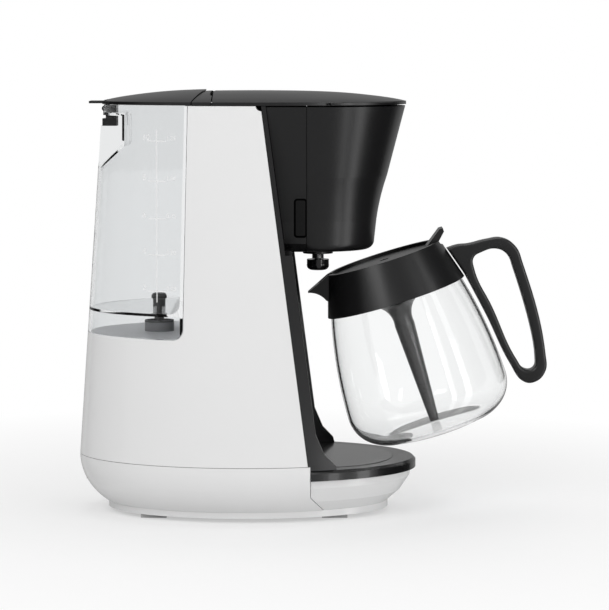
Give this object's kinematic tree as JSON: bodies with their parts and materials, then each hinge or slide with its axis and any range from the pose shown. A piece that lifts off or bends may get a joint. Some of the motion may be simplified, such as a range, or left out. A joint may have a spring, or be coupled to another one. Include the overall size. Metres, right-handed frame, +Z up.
{
  "type": "drip coffee maker",
  "caption": "White and black drip coffee maker with a lift-out clear water tank, a cone filter head with drip stop, a warming plate and a glass carafe tipped clear of the plate.",
  "frame": {"origin": "on the table under the centre of the base oval", "axes": "+X towards the carafe's side, +Y away from the camera of the picture, +Z up"},
  "size_m": [0.3884, 0.18, 0.3495],
  "materials": {
    "white_plastic": "gloss white",
    "black_plastic": "satin black",
    "inner_plastic": "matte dark grey",
    "grey_plastic": "matte light grey",
    "clear_plastic": "clear moulded plastic",
    "clear_glass": "clear blown glass",
    "steel": "plain steel",
    "rubber": "soft grey",
    "heater_metal": "cast"
  },
  "bodies": {
    "machine": {"base_shell": "white_plastic", "base_front": "white_plastic", "base_plate": "white_plastic", "rubber_feet": "rubber", "base_screws": "steel", "cord_gland": "black_plastic", "tray": "black_plastic", "hot_plate": "steel", "flow_heater": "heater_metal", "heater_clamp": "steel", "thermostat": "heater_metal", "thermal_fuse": "inner_plastic", "body_shell": "white_plastic", "tank_bay": "grey_plastic", "column_liner": "black_plastic", "head_deck": "black_plastic", "head_housing": "black_plastic", "filter_holder": "black_plastic", "filter_basket": "black_plastic", "shower_head": "inner_plastic", "drip_flange": "black_plastic", "drip_spring": "steel", "top_bridge": "black_plastic", "cover_pin": "steel", "tank_seat": "inner_plastic", "seat_seal": "inner_plastic", "inlet_hose": "inner_plastic", "check_valve": "inner_plastic", "feed_hose": "inner_plastic", "riser_tube": "inner_plastic", "button_bezel": "white_plastic", "switch_block": "inner_plastic"},
    "tank": {"tank_shell": "clear_plastic", "lid_bracket": "black_plastic", "valve_cage": "black_plastic"},
    "tank_lid": {"tank_lid": "black_plastic", "tank_lid_pin": "steel"},
    "tank_valve": {"tank_valve": "black_plastic"},
    "top_cover": {"top_cover": "black_plastic"},
    "drip_stop": {"drip_plunger": "black_plastic"},
    "power_button": {"power_button": "white_plastic"},
    "carafe": {"carafe_glass": "clear_glass", "carafe_collar": "black_plastic", "carafe_lid_pin": "steel", "carafe_lid": "black_plastic", "mixing_tube": "black_plastic", "carafe_handle": "black_plastic", "handle_screw": "steel"}
  },
  "joints": [
    {"name": "tank_lift", "type": "slide", "parent": "machine", "child": "tank", "axis": [0, 0, 1], "range_m": [0, 0.2]},
    {"name": "tank_lid_open", "type": "hinge", "parent": "tank", "child": "tank_lid", "pos_m": [-0.1166, 0, 0.334], "axis": [0, -1, 0], "range_deg": [0, 80]},
    {"name": "tank_valve_lift", "type": "slide", "parent": "tank", "child": "tank_valve", "axis": [0, 0, 1], "range_m": [0, 0.003], "stiffness_N_per_m": 60, "springref_m": -0.004},
    {"name": "top_cover_open", "type": "hinge", "parent": "machine", "child": "top_cover", "pos_m": [-0.0271, 0, 0.3466], "axis": [0, -1, 0], "range_deg": [0, 75]},
    {"name": "drip_stop_press", "type": "slide", "parent": "machine", "child": "drip_stop", "axis": [0, 0, 1], "range_m": [0, 0.004], "stiffness_N_per_m": 120, "springref_m": -0.004, "deforming": ["drip_spring"]},
    {"name": "carafe_swing", "type": "hinge", "parent": "machine", "child": "carafe", "pos_m": [0.03893, 0, 0.38046], "axis": [0, -1, 0], "range_deg": [-17.5, 12.5]},
    {"name": "power_button_press", "type": "slide", "parent": "machine", "child": "power_button", "axis": [-1, 0, 0], "range_m": [0, 0.0015], "stiffness_N_per_m": 200, "springref_m": -0.001}
  ]
}
